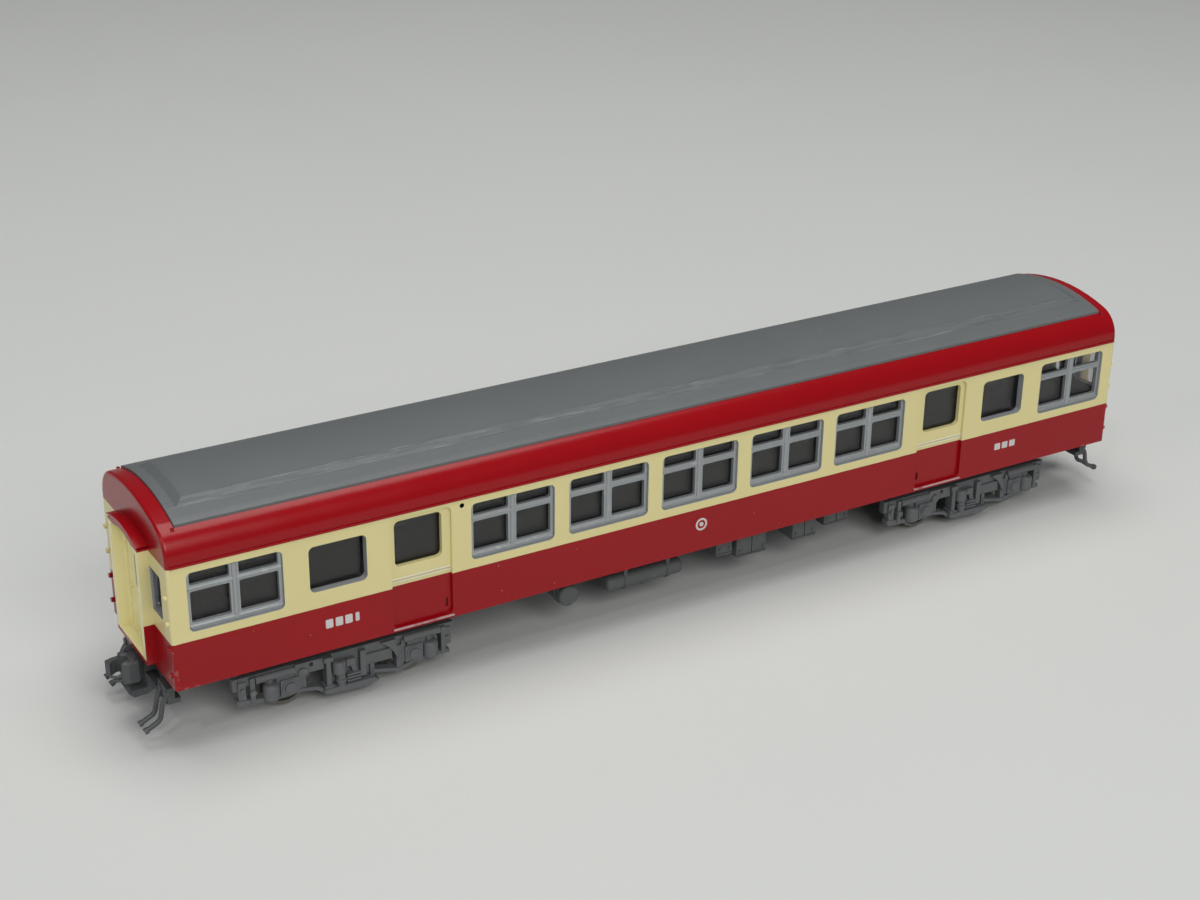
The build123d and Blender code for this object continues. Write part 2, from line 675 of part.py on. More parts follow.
def axle_boxes(axle_h):
    """Axle boxes with round covers and guides, under the rounded spring covers."""
    parts = [
        rod_x(-10.5, -6.3, -FRAME_IN - 0.7, -2.5, 0.45),
        rod_x(5.9, 10.1, -FRAME_IN - 0.7, -2.4, 0.45),
        proud(6.3, 8.0, -3.58, -2.3, 0.95),
        proud(-8.0, -6.3, -3.58, -2.3, 0.95),
    ]
    for x in (-HALF_BASE, HALF_BASE):
        parts += [
            proud(x - 1.0, x + 1.0, axle_h - 0.85, axle_h + 0.95, AXLE_HALF_L - FRAME_IN + 0.5),
            rod_y(x, -AXLE_HALF_L - 0.6, -FRAME_IN - 0.5, axle_h, 0.85),
            rod_y(x, -AXLE_HALF_L - 0.8, -FRAME_IN - 0.5, axle_h, 0.6),
            proud(x - 1.35, x - 0.9, -5.0, -2.4, 0.95),
            proud(x + 0.9, x + 1.35, -5.0, -2.4, 0.95),
        ]
    return parts


def axle_springs():
    """Rounded spring pots outside the axle boxes."""
    parts = []
    for x in (-HALF_BASE - 1.95, HALF_BASE + 1.95):
        pot = rod_z(x, -FRAME_IN - 0.92, -5.1, -3.2, 0.85)
        rims = [edge for edge in pot.edges() if edge.geom_type == GeomType.CIRCLE]
        parts.append(fillet(rims, 0.35))
        parts.append(rod_z(x, -FRAME_IN - 0.6, -3.5, -2.4, 0.4))
        parts.append(proud(x - 0.5, x + 0.5, -5.0, -2.4, 0.7))
    return parts


def bolster():
    """Bolster post, spring pot, rubbing plates and spring plank in the middle."""
    depth = -FRAME_IN - 1.0
    pot = rod_z(-1.47, depth, -4.2, -2.6, 0.74)
    rims = [edge for edge in pot.edges() if edge.geom_type == GeomType.CIRCLE]
    link = [(-0.3, -3.3), (0.24, -3.3), (0.7, -4.65), (0.1, -4.65)]
    plank = [
        (-3.3, -5.45),
        (2.2, -5.5),
        (2.81, -5.87),
        (1.5, -6.26),
        (-2.6, -6.05),
        (-3.3, -5.9),
    ]
    parts = [
        proud(-2.95, -2.45, -5.6, PLATE_TOP, 1.25),
        proud(-3.2, -2.2, -2.4, PLATE_TOP, 1.35),
        proud(-3.2, -2.2, -5.6, -5.15, 1.35),
        fillet(rims, 0.3),
        rod_z(-1.3, depth, -5.6, -4.0, 0.5),
        rod_z(-1.3, depth, -5.05, -4.75, 0.62),
        proud(-0.73, 0.24, -3.46, -2.7, 1.3),
        proud_shape(link, 1.1),
        proud(-0.55, 0.7, -5.6, -4.4, 1.0),
        proud(0.85, 1.5, -5.1, -2.2, 1.2),
        proud_shape(plank, 1.5),
    ]
    for low in (-5.3, -4.95, -4.6):
        parts.append(proud(-0.72, 0.8, low, low + 0.2, 1.35))
    return parts


def end_gear():
    """Brake hangers, levers and ties beyond the outer springs."""
    tie = [(-12.56, -4.3), (-9.6, -4.75), (-9.6, -5.2), (-12.08, -5.1), (-12.56, -4.8)]
    return [
        proud(-12.2, -10.2, -3.0, -1.95, 0.6),
        proud(-11.1, -10.6, -4.9, -2.1, 1.0),
        proud(-12.3, -11.5, -4.6, -2.4, 0.8),
        proud(-12.8, -12.1, -3.4, -2.0, 0.5),
        rod_y(-10.85, -FRAME_IN - 1.2, -FRAME_IN, -3.7, 0.34),
        rod_y(-11.9, -FRAME_IN - 1.0, -FRAME_IN, -3.3, 0.25),
        proud_shape(tie, 0.9),
        proud(9.9, 11.8, -3.0, -1.95, 0.6),
        proud(10.2, 10.7, -5.3, -2.1, 1.0),
        proud(10.6, 11.4, -4.4, -2.4, 0.8),
        proud(9.7, 11.2, -5.35, -4.95, 0.9),
        rod_y(10.95, -FRAME_IN - 1.0, -FRAME_IN, -3.6, 0.28),
    ]


def bogie_frame():
    """One-piece bogie moulding at end a."""
    side = bogie_side()
    plate_low = PLATE_TOP - PLATE_T
    reach = FRAME_IN + 0.1
    parts = [
        side,
        half_turn(side),
        block(-2.6, 2.6, -reach, reach, plate_low, PLATE_TOP),
        block(-0.5, 0.5, -reach, reach, plate_low - 0.6, plate_low + 0.1),
    ]
    for sign in (-1, 1):
        x = sign * END_TIE_X
        parts.append(block(x - 0.45, x + 0.45, -reach, reach, -3.0, -2.2))
        shoe = [
            (x, -2.6),
            (x, -4.6),
            (x - sign * 0.4, -4.6),
            (x - sign * 0.8, -3.6),
            (x - sign * 0.5, -2.6),
        ]
        tread = WHEEL_IN + WHEEL_W / 2
        parts += [across(shoe, y - 0.6, y + 0.6) for y in (-tread, tread)]
    hole = rod_z(0, 0, plate_low - 1, PLATE_TOP + 1, PIVOT_R + PIVOT_GAP)
    well = rod_z(0, 0, plate_low - 1, plate_low, PIN_HEAD_R + 0.3)
    return Pos(-BOGIE_X, 0, 0) * join(parts).cut(hole, well)


def wheel(side):
    """Flanged wheel with a dished face, turned about the Y axis."""
    y0 = WHEEL_IN
    y1 = y0 + FLANGE_W
    y2 = y0 + WHEEL_W
    points = [
        (AXLE_R, y0),
        (AXLE_Z - 0.12, y0),
        (AXLE_Z, y0 + 0.14),
        (AXLE_Z, y0 + 0.3),
        (TREAD_R + 0.05, y1),
        (TREAD_R - 0.05, y2),
        (TREAD_R - 0.4, y2),
        (TREAD_R - 0.6, y2 - 0.45),
        (1.3, y2 - 0.45),
        (1.15, y2 - 0.05),
        (AXLE_R, y2 - 0.05),
    ]
    profile = make_face(Polyline(points, close=True))
    solid = revolve(profile, Axis.Y, 360)
    return solid if side > 0 else Rotation(0, 0, 180) * solid


def axle():
    """Axle with a thinner journal at each end."""
    body_half = WHEEL_IN + WHEEL_W
    points = [
        (0, -AXLE_HALF_L),
        (JOURNAL_R - 0.15, -AXLE_HALF_L),
        (JOURNAL_R, -AXLE_HALF_L + 0.25),
        (JOURNAL_R, -body_half),
        (AXLE_R, -body_half),
        (AXLE_R, body_half),
        (JOURNAL_R, body_half),
        (JOURNAL_R, AXLE_HALF_L - 0.25),
        (JOURNAL_R - 0.15, AXLE_HALF_L),
        (0, AXLE_HALF_L),
    ]
    return revolve(make_face(Polyline(points, close=True)), Axis.Y, 360)


def coupler_pocket():
    """Box under the floor at end a, with the pin that the coupler swings on."""
    front = -HALF_L + END_WALL + FLOOR_GAP
    back = -POCKET_X + 2.0
    low = SHANK_LOW - POCKET_FLOOR_T
    box = block(front, back, -POCKET_HALF_W, POCKET_HALF_W, low, FLOOR_LOW)
    room = POCKET_HALF_W - 0.5
    cavity = block(front - 1, back - 0.6, -room, room, SHANK_LOW - 0.05, FLOOR_LOW - 0.5)
    pin_r = COUPLER_PIN_R - COUPLER_PIN_GAP
    pin = rod_z(-POCKET_X, 0, low + 0.2, FLOOR_LOW - 0.2, pin_r)
    pegs_up = [
        rod_z(-POCKET_PEG_X, y, FLOOR_LOW - 0.2, FLOOR_LOW + PEG_L, PEG_R)
        for y in POCKET_PEG_Y
    ]
    return join([box - cavity, pin] + pegs_up)


def hook(y, h, reach):
    """Thin curved guide finger in front of the coupler head."""
    face = -HEAD_FACE_X
    path = FilletPolyline(
        (face + 0.6, y, SKIRT_Z + h),
        (face - reach + 0.6, y, SKIRT_Z + h - 0.15),
        (face - reach, y + 0.55, SKIRT_Z + h - 0.2),
        radius=0.35,
    )
    return sweep(Plane(origin=path @ 0, z_dir=path % 0) * Circle(0.15), path=path)


def coupler_head():
    """Knuckle coupler with its shank, at end a."""
    face = -HEAD_FACE_X
    back = -HEAD_BACK_X
    eye = rod_z(-POCKET_X, 0, SHANK_LOW, SHANK_TOP, 1.3)
    shank = block(back - 0.5, -POCKET_X, -SHANK_HALF_W, SHANK_HALF_W, SHANK_LOW, SHANK_TOP)
    outline = [
        (back, -0.9),
        (back - 0.7, -HEAD_HALF_W),
        (face + 0.2, -HEAD_HALF_W),
        (face - 0.4, -HEAD_HALF_W + 0.4),
        (face - 0.4, -0.7),
        (face + 0.55, -0.35),
        (face + 0.55, 0.55),
        (face, 0.75),
        (face, HEAD_HALF_W),
        (back - 0.7, HEAD_HALF_W),
        (back, 0.9),
    ]
    plan = Plane(origin=(0, 0, SKIRT_Z + HEAD_LOW))
    head = extrude(plan * make_face(Polyline(outline, close=True)), HEAD_TOP - HEAD_LOW)
    ends = (head.faces().sort_by(Axis.Z)[0], head.faces().sort_by(Axis.Z)[-1])
    head = chamfer([edge for end in ends for edge in end.edges()], 0.25)
    claw_outline = [
        (face + 0.2, HEAD_HALF_W - 0.05),
        (face - 0.7, HEAD_HALF_W - 0.15),
        (face - 1.45, HEAD_HALF_W - 0.4),
        (face - 1.6, HEAD_HALF_W - 0.95),
        (face - 1.25, HEAD_HALF_W - 1.35),
        (face - 0.85, HEAD_HALF_W - 0.95),
        (face - 0.3, HEAD_HALF_W - 0.7),
        (face + 0.2, HEAD_HALF_W - 0.75),
    ]
    claw_plan = Plane(origin=(0, 0, SKIRT_Z + HEAD_LOW + 0.6))
    claw = extrude(claw_plan * make_face(Polyline(claw_outline, close=True)), 1.45)
    low = SKIRT_Z + HEAD_TOP - 0.5
    high = SKIRT_Z + HEAD_TOP + 0.5
    loop_path = FilletPolyline(
        (face + 0.5, 1.0, low),
        (face + 0.5, 1.0, high),
        (back - 0.75, 1.0, high),
        (back - 0.75, 1.0, low),
        radius=0.4,
    )
    loop = sweep(Plane(origin=loop_path @ 0, z_dir=loop_path % 0) * Circle(0.2), path=loop_path)
    lock = rod_z(face + 0.75, -0.9, HEAD_TOP - 0.4, HEAD_TOP + 0.2, 0.4)
    body = join([eye, shank, head, claw, loop, lock, hook(-0.9, -1.6, 1.5), hook(-0.7, -2.25, 1.2)])
    hole = rod_z(-POCKET_X, 0, SHANK_LOW - 1, SHANK_TOP + 1, COUPLER_PIN_R)
    return body - hole


def hose(y):
    """One moulded brake hose that hangs down and points forward, at end a."""
    wall = -HALF_L
    path = FilletPolyline(
        (wall + 0.2, y, SKIRT_Z - 2.0),
        (wall - 0.45, y, SKIRT_Z - 3.0),
        (wall - 0.8, y, SKIRT_Z - 4.75),
        (wall - 2.45, y, SKIRT_Z - 5.55),
        radius=0.9,
    )
    start = Plane(origin=path @ 0, z_dir=path % 0)
    pipe = sweep(start * Circle(HOSE_R), path=path)
    tip = path @ 1
    along = path % 1
    cuff = extrude(Plane(origin=tip - along * 0.35, z_dir=along) * Circle(HOSE_R + 0.08), 0.4)
    cap = rod_x(wall - 0.15, wall + 0.4, y, -2.0, HOSE_R + 0.14)
    return [pipe, cuff, cap]


def hose_carrier():
    """Cross beam below the coupler pocket, with the hoses and the coupler guard."""
    wall = -HALF_L
    back = wall + CARRIER_DEEP
    top = SHANK_LOW - POCKET_FLOOR_T
    low = top - 0.5
    outline = [
        (back, top),
        (wall, top),
        (wall - 0.4, -3.4),
        (wall - 2.0, -3.45),
        (wall - 2.3, -3.75),
        (wall - 1.8, -4.2),
        (wall - 0.4, -4.15),
        (back, low),
    ]
    guard = across(outline, -GUARD_HALF_W, GUARD_HALF_W)
    parts = [block(wall, back, -CARRIER_HALF_W, CARRIER_HALF_W, low, top), guard]
    for side in (-1, 1):
        y0, y1 = sorted((side * (HOSE_Y[0] - 0.7), side * CARRIER_HALF_W))
        parts.append(block(wall, back - 0.6, y0, y1, top - 0.3, -1.3))
        for y in HOSE_Y:
            parts += hose(side * y)
    return join(parts)


def at_axle(shape, x):
    return Pos(x, 0, AXLE_Z) * shape


NODES = {
    "body_shell": body_shell(),
    "roof_panel": roof_panel(),
    "side_glazing_near": side_glazing(-1),
    "side_glazing_far": side_glazing(1),
    "end_glazing_a": end_glazing(),
    "end_glazing_b": half_turn(end_glazing()),
    "sash_set_near": sash_set(-1),
    "sash_set_far": sash_set(1),
    "chassis_floor": chassis_floor(),
    "weight_plate": weight_plate(),
    "cross_reservoir": cross_reservoir(),
    "main_reservoir": main_reservoir(),
}

for gear_name in GEAR:
    NODES[gear_name] = gear_box(gear_name)

for builder in (bogie_frame, bogie_pin, coupler_pocket, coupler_head, hose_carrier):
    piece = builder()
    NODES[builder.__name__ + "_a"] = piece
    NODES[builder.__name__ + "_b"] = half_turn(piece)

AXLE_X = {
    "a1": -BOGIE_X - HALF_BASE,
    "a2": -BOGIE_X + HALF_BASE,
    "b1": BOGIE_X - HALF_BASE,
    "b2": BOGIE_X + HALF_BASE,
}

for tag, x in AXLE_X.items():
    NODES["axle_" + tag] = at_axle(axle(), x)
    NODES["wheels_" + tag] = Compound(children=[at_axle(wheel(-1), x), at_axle(wheel(1), x)])

os.makedirs("parts", exist_ok=True)
for name, shape in NODES.items():
    export_step(shape, "parts/" + name + ".step")
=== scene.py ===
import math

import bmesh
import bpy
from mathutils import Matrix, Vector


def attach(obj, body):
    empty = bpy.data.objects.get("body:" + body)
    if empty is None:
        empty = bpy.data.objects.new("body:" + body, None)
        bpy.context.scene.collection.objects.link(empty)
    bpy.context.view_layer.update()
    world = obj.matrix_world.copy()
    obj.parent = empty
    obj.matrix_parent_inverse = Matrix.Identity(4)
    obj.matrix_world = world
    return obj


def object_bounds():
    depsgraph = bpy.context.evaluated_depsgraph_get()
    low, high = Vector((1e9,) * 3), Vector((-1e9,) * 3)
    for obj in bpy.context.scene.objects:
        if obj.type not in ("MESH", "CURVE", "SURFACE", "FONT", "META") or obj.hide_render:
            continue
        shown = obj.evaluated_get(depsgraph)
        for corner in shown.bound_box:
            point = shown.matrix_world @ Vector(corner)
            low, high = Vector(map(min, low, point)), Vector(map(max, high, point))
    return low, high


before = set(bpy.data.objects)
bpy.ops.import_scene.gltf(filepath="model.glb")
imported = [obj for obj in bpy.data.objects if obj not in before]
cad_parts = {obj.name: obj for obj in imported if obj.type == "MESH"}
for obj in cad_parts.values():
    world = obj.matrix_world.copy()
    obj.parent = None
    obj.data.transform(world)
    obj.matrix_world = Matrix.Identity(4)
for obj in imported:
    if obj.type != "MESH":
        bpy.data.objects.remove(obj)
cad_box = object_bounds()

MM = 0.001

# The coach's own sizes and places, in mm in the shared frame. "Low" and "top" are heights,
# and X and Y are distances from the middle, because both ends and both sides are alike.
SHELL_HALF_L = 60.3
SHELL_HALF_W = 9.3
FACE_SKIN = 0.015
WALL = 0.9
WALL_IN_Y = 8.42
WALL_IN_X = 59.42
CROWN_R = 24.0
CROWN_Z = 1.4
SHOULDER_R = 3.4
SHOULDER_Y = 5.9
SHOULDER_Z = 21.137
SHOULDER_SLOPE = 3.345
BAND_LOW = 12.52
BAND_TOP = 20.64
GUTTER_Y = 9.305
SILL_Z = 8.62
POST_Y = 4.28
GANG_X = 60.26
WINDOW_LOW = 13.2
WINDOW_TOP = 20.1
DOOR_LOW_X = 30.2
DOOR_HIGH_X = 37.12
DOOR_BACK_Y = 8.935
DOOR_RIBS = (12.93, 13.45)
RIB_FACE_Y = 9.2
STEP_TOP = 7.9
HANDLE_SLOT_X = (30.6, 31.1)
HANDLE_SLOT_Z = (8.65, 9.75)
HANDLE_SLOT_Y = 8.92
RECESS_Y = 2.95
RECESS_LOW = 8.7
SLIT_X = 60.03
SLIT_RIM_X = 59.95
SLIT_Y = (-0.08, 1.18)
SLIT_RIM_Y = 1.1
SLIT_Z = (13.98, 17.72)
SIDE_WINDOW_END_X = 59.3
END_WINDOW_Y = (3.78, 7.32)
END_WINDOW_Z = (14.2, 19.1)
CORNER_X = 59.9
CORNER_Y = 8.9
SKIRT_TOP = 7.62
SKIRT_Y = 8.4
SKIRT_RUB_X = 56.0
LAMP_X = 29.04
LAMP_Z = 19.97
LAMP_R = 0.285
DUCT_Y = 5.4
DUCT_X = 57.5


def rgb(red, green, blue):
    """8-bit display colour as the linear colour that shaders take."""
    linear = []
    for level in (red, green, blue):
        share = level / 255
        linear.append(((share + 0.055) / 1.055) ** 2.4 if level > 10 else share / 12.92)
    return (*linear, 1.0)


class Finish:
    """A node material whose patterns are placed in mm in the shared frame."""

    def __init__(self, name):
        self.material = bpy.data.materials.new(name)
        self.material.use_nodes = True
        tree = self.material.node_tree
        self.nodes = tree.nodes
        self.links = tree.links
        self.shader = self.nodes["Principled BSDF"]
        coords = self.nodes.new("ShaderNodeTexCoord")
        scale = self.nodes.new("ShaderNodeVectorMath")
        scale.operation = "SCALE"
        scale.inputs["Scale"].default_value = 1 / MM
        self.links.new(coords.outputs["Object"], scale.inputs[0])
        self.place = scale.outputs["Vector"]
        split = self.nodes.new("ShaderNodeSeparateXYZ")
        self.links.new(self.place, split.inputs["Vector"])
        self.x, self.y, self.z = split.outputs
        self.ax = self.math("ABSOLUTE", self.x)
        self.ay = self.math("ABSOLUTE", self.y)

    def plug(self, socket, value):
        if isinstance(value, bpy.types.NodeSocket):
            self.links.new(value, socket)
        else:
            socket.default_value = value

    def math(self, operation, *values):
        node = self.nodes.new("ShaderNodeMath")
        node.operation = operation
        for socket, value in zip(node.inputs, values):
            self.plug(socket, value)
        return node.outputs["Value"]

    def both(self, *masks):
        total = masks[0]
        for mask in masks[1:]:
            total = self.math("MULTIPLY", total, mask)
        return total

    def either(self, *masks):
        total = masks[0]
        for mask in masks[1:]:
            total = self.math("MAXIMUM", total, mask)
        return total

    def without(self, mask, hidden):
        return self.both(mask, self.math("SUBTRACT", 1.0, hidden))

    def above(self, value, level):
        return self.math("GREATER_THAN", value, level)

    def below(self, value, level):
        return self.math("LESS_THAN", value, level)

    def between(self, value, low, high):
        return self.both(self.above(value, low), self.below(value, high))

    def ramp(self, value, low, high):
        """0 at low, 1 at high, smooth between."""
        node = self.nodes.new("ShaderNodeMapRange")
        node.interpolation_type = "SMOOTHSTEP"
        self.plug(node.inputs["Value"], value)
        node.inputs["From Min"].default_value = low
        node.inputs["From Max"].default_value = high
        return node.outputs["Result"]

    def noise(self, grain, detail=3.0, rough=0.55, stretch=(1, 1, 1), shift=0.0):
        """Noise about 0.5 with lumps of grain mm."""
        move = self.nodes.new("ShaderNodeMapping")
        self.links.new(self.place, move.inputs["Vector"])
        move.inputs["Location"].default_value = (shift, 2 * shift, 3 * shift)
        move.inputs["Scale"].default_value = [s / grain for s in stretch]
        node = self.nodes.new("ShaderNodeTexNoise")
        node.inputs["Scale"].default_value = 1.0
        node.inputs["Detail"].default_value = detail
        node.inputs["Roughness"].default_value = rough
        self.links.new(move.outputs["Vector"], node.inputs["Vector"])
        return node.outputs["Fac"]

    def mix(self, mask, first, second):
        node = self.nodes.new("ShaderNodeMix")
        node.data_type = "RGBA"
        self.plug(node.inputs["Factor"], mask)
        self.plug(node.inputs["A"], first)
        self.plug(node.inputs["B"], second)
        return node.outputs["Result"]

    def shade(self, colour, pattern, amount):
        """Colour made lighter and darker by amount where pattern leaves 0.5."""
        swing = self.math("MULTIPLY_ADD", pattern, 2 * amount, 1 - amount)
        node = self.nodes.new("ShaderNodeVectorMath")
        node.operation = "SCALE"
        is_socket = isinstance(colour, bpy.types.NodeSocket)
        self.plug(node.inputs[0], colour if is_socket else colour[:3])
        self.links.new(swing, node.inputs["Scale"])
        return node.outputs["Vector"]

    def spread(self, pattern, low, high):
        """Pattern 0..1 stretched to low..high."""
        return self.math("MULTIPLY_ADD", pattern, high - low, low)

    def bump(self, height, depth):
        """Relief of depth mm from a 0..1 height."""
        node = self.nodes.new("ShaderNodeBump")
        node.inputs["Strength"].default_value = 1.0
        node.inputs["Distance"].default_value = depth * MM
        self.plug(node.inputs["Height"], height)
        self.links.new(node.outputs["Normal"], self.shader.inputs["Normal"])

    def set(self, **values):
        for name, value in values.items():
            self.plug(self.shader.inputs[name.replace("_", " ")], value)
        return self.material


RED = rgb(147, 8, 18)
CREAM = rgb(219, 208, 152)
GANGWAY_LIT_CREAM = rgb(240, 231, 176)
SILVER = rgb(168, 171, 174)
DARK_INSIDE_AND_SHADE = rgb(24, 21, 22)
ROOF_GREY = rgb(99, 103, 104)
PAPER_GREY = rgb(206, 208, 206)
DUST_ON_RED = rgb(196, 120, 116)
RUBBED_RED = rgb(168, 110, 108)
RIB_HIGHLIGHT = rgb(226, 228, 222)
WORN_STEP = rgb(186, 160, 162)
SLOT_SHADE_RED = rgb(112, 8, 16)
SLIT_GREY = rgb(150, 150, 146)


def length(f, first, second):
    squares = f.math("ADD", f.math("MULTIPLY", first, first), f.math("MULTIPLY", second, second))
    return f.math("SQRT", squares)


def shell_depth(f):
    """How deep a point lies below the body's outer cross-section, in mm."""
    crown = f.math("SUBTRACT", CROWN_R, length(f, f.y, f.math("SUBTRACT", f.z, CROWN_Z)))
    out = f.math("SUBTRACT", f.ay, SHOULDER_Y)
    up = f.math("SUBTRACT", f.z, SHOULDER_Z)
    reach = length(f, f.math("MAXIMUM", out, 0.0), f.math("MAXIMUM", up, 0.0))
    shoulder = f.math("SUBTRACT", SHOULDER_R, reach)
    under_crown = f.math("GREATER_THAN", up, f.math("MULTIPLY", out, SHOULDER_SLOPE))
    change = f.math("MULTIPLY", under_crown, f.math("SUBTRACT", crown, shoulder))
    return f.math("ADD", shoulder, change)


def coach_paint():
    """Glossy two-colour paint with silver window reveals and a dark inside, plus painted light,
    highlight and shade in the gangway, door ribs, handle slot, door slit and lamp hole.
    """
    f = Finish("coach_paint")
    waver = f.math("MULTIPLY_ADD", f.noise(1.6, 2.0), 0.05, -0.025)
    height = f.math("ADD", f.z, waver)
    in_band = f.between(height, BAND_LOW, BAND_TOP)
    gangway = f.both(
        f.above(f.ax, GANG_X),
        f.below(f.ay, POST_Y),
        f.between(f.z, SILL_Z, BAND_TOP),
    )
    recess = f.both(
        f.above(f.ax, WALL_IN_X),
        f.below(f.ay, RECESS_Y),
        f.between(f.z, RECESS_LOW, BAND_TOP),
    )
    cream_mask = f.either(in_band, gangway, recess)
    red = f.shade(RED, f.noise(14.0, 2.0, shift=3.0), 0.07)
    cream = f.shade(CREAM, f.noise(10.0, 3.0, shift=7.0), 0.03)
    paint = f.mix(cream_mask, red, cream)
    # Painted light: the gangway and the end door recess take a lighter cream than the sides
    gangway_lit_cream = f.shade(GANGWAY_LIT_CREAM, f.noise(6.0, 3.0, shift=17.0), 0.03)
    paint = f.mix(f.either(gangway, recess), paint, gangway_lit_cream)

    # A few dust specks, and paint rubbed thin on the vertical corners and the skirt
    dust = f.ramp(f.noise(0.45, 1.0, shift=11.0), 0.82, 0.85)
    paint = f.mix(f.both(dust, f.below(f.z, BAND_LOW)), paint, DUST_ON_RED)
    corner = f.both(
        f.above(f.ax, CORNER_X),
        f.above(f.ay, CORNER_Y),
        f.below(f.z, BAND_LOW),
    )
    skirt = f.both(f.below(f.z, SKIRT_TOP), f.above(f.ay, SKIRT_Y))
    rub_zone = f.either(corner, f.both(skirt, f.above(f.ax, SKIRT_RUB_X)))
    rub = f.both(rub_zone, f.ramp(f.noise(0.7, 4.0, shift=5.0), 0.52, 0.62))
    paint = f.mix(f.both(rub, f.spread(f.noise(0.3), 0.2, 0.7)), paint, RUBBED_RED)

    # Painted highlight: a pale line along the door ribs. The door step is worn to metal
    in_door = f.between(f.ax, DOOR_LOW_X, DOOR_HIGH_X)
    ribs = f.both(
        in_door,
        f.between(f.z, *DOOR_RIBS),
        f.above(f.ay, DOOR_BACK_Y + 0.04),
        f.below(f.ay, RIB_FACE_Y),
    )
    rib_highlight = f.both(ribs, f.spread(f.noise(1.2, shift=2.0), 0.35, 0.9))
    paint = f.mix(rib_highlight, paint, RIB_HIGHLIGHT)
    step = f.both(in_door, f.above(f.ay, GUTTER_Y), f.below(f.z, STEP_TOP))
    worn = f.both(step, f.ramp(f.noise(2.2, 3.0, shift=9.0), 0.26, 0.44))
    paint = f.mix(worn, paint, WORN_STEP)

    # Painted shade: the recessed handle slot is painted a darker red
    slot = f.both(
        f.between(f.ax, *HANDLE_SLOT_X),
        f.between(f.z, *HANDLE_SLOT_Z),
        f.below(f.ay, HANDLE_SLOT_Y),
    )
    paint = f.mix(slot, paint, SLOT_SHADE_RED)

    # Painted shade on the edges of the end door's slit, with a grey strip on the outer one
    slit_y = f.math("MULTIPLY", f.y, f.math("SIGN", f.math("MULTIPLY", f.x, -1.0)))
    slit_zone = f.both(f.between(f.ax, WALL_IN_X, SLIT_X), f.between(f.z, *SLIT_Z))
    slit_edge = f.both(slit_zone, f.between(slit_y, *SLIT_Y))
    grey_strip = f.both(slit_edge, f.above(f.ax, SLIT_RIM_X), f.above(slit_y, SLIT_RIM_Y))
    paint = f.mix(slit_edge, paint, DARK_INSIDE_AND_SHADE)
    paint = f.mix(grey_strip, paint, SLIT_GREY)

    # Window reveals
    beside_window = f.both(
        f.between(f.ay, WALL_IN_Y, SHELL_HALF_W - FACE_SKIN),
        f.between(f.z, WINDOW_LOW, WINDOW_TOP),
        f.below(f.ax, SIDE_WINDOW_END_X),
    )
    side_reveal = f.without(beside_window, in_door)
    end_reveal = f.both(
        f.between(f.ax, WALL_IN_X, SHELL_HALF_L - FACE_SKIN),
        f.between(f.z, *END_WINDOW_Z),
        f.between(f.ay, *END_WINDOW_Y),
    )
    reveal = f.either(side_reveal, end_reveal)
    silver = f.shade(SILVER, f.noise(0.8, shift=4.0), 0.08)
    paint = f.mix(reveal, paint, silver)

    # The dark hollow inside, and painted shade at the bottom of the tail lamp's hole
    lamp_x = f.math("SUBTRACT", f.ax, LAMP_X)
    lamp_z = f.math("SUBTRACT", f.z, LAMP_Z)
    in_lamp = f.below(length(f, lamp_x, lamp_z), LAMP_R)
    lamp_hole = f.both(in_lamp, f.below(f.ay, SHELL_HALF_W - 0.02))
    inside = f.both(f.above(shell_depth(f), WALL - 0.02), f.below(f.ax, WALL_IN_X))
    dark = f.either(inside, lamp_hole)
    paint = f.mix(dark, paint, DARK_INSIDE_AND_SHADE)

    matt = f.either(reveal, dark)
    orange_peel = f.noise(0.9, 2.0, shift=13.0)
    gloss = f.spread(f.noise(5.0, 3.0, shift=8.0), 0.16, 0.26)
    roughness = f.math("ADD", gloss, f.math("MULTIPLY", matt, 0.28))
    f.bump(orange_peel, 0.004)
    return f.set(
        Base_Color=paint,
        Roughness=roughness,
        Metallic=f.math("MULTIPLY", reveal, 0.35),
        IOR=1.5,
        Specular_IOR_Level=0.3,
    )


